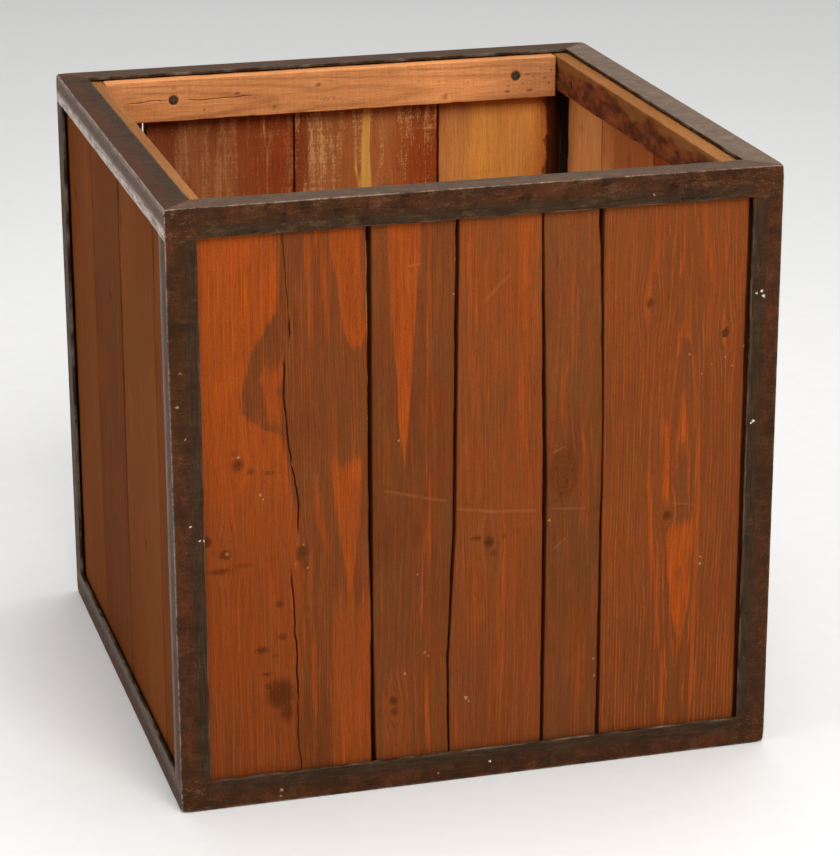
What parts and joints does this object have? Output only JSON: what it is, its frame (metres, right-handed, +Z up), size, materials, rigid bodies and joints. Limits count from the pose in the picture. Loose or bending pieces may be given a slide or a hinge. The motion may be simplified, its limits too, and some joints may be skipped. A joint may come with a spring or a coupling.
{
  "type": "planter box",
  "caption": "Open-topped cube planter: welded steel angle frame with upright stained timber boards, inner battens and a slatted floor that drains.",
  "frame": {"origin": "middle of the base, on the surface it stands on", "axes": "+Z up, +X to the right seen from the front, front wall faces -Y"},
  "size_m": [0.6, 0.6, 0.6],
  "materials": {
    "weathered_steel": "satin",
    "stained_board": "satin",
    "raw_pine_batten": "matte",
    "rough_sawn_pine": "matte",
    "screw_steel": "satin"
  },
  "bodies": {
    "root": {"back_board_1": "stained_board", "back_board_2": "stained_board", "back_board_3": "stained_board", "back_board_4": "stained_board", "bottom_batten_back": "rough_sawn_pine", "bottom_batten_front": "rough_sawn_pine", "bottom_batten_left": "rough_sawn_pine", "bottom_batten_right": "rough_sawn_pine", "bottom_batten_screws": "screw_steel", "bottom_rail_back": "weathered_steel", "bottom_rail_front": "weathered_steel", "bottom_rail_left": "weathered_steel", "bottom_rail_right": "weathered_steel", "floor_screws": "screw_steel", "floor_slat_1": "rough_sawn_pine", "floor_slat_2": "rough_sawn_pine", "floor_slat_3": "rough_sawn_pine", "floor_slat_4": "rough_sawn_pine", "floor_slat_5": "rough_sawn_pine", "front_board_1": "stained_board", "front_board_2": "stained_board", "front_board_3": "stained_board", "front_board_4": "stained_board", "front_board_5": "stained_board", "left_board_1": "stained_board", "left_board_2": "stained_board", "left_board_3": "stained_board", "left_board_4": "stained_board", "post_back_left": "weathered_steel", "post_back_right": "weathered_steel", "post_front_left": "weathered_steel", "post_front_right": "weathered_steel", "right_board_1": "stained_board", "right_board_2": "stained_board", "right_board_3": "stained_board", "right_board_4": "stained_board", "top_batten_back": "raw_pine_batten", "top_batten_front": "raw_pine_batten", "top_batten_left": "raw_pine_batten", "top_batten_right": "raw_pine_batten", "top_batten_screws": "screw_steel", "top_rail_back": "weathered_steel", "top_rail_front": "weathered_steel", "top_rail_left": "weathered_steel", "top_rail_right": "weathered_steel"}
  },
  "joints": []
}
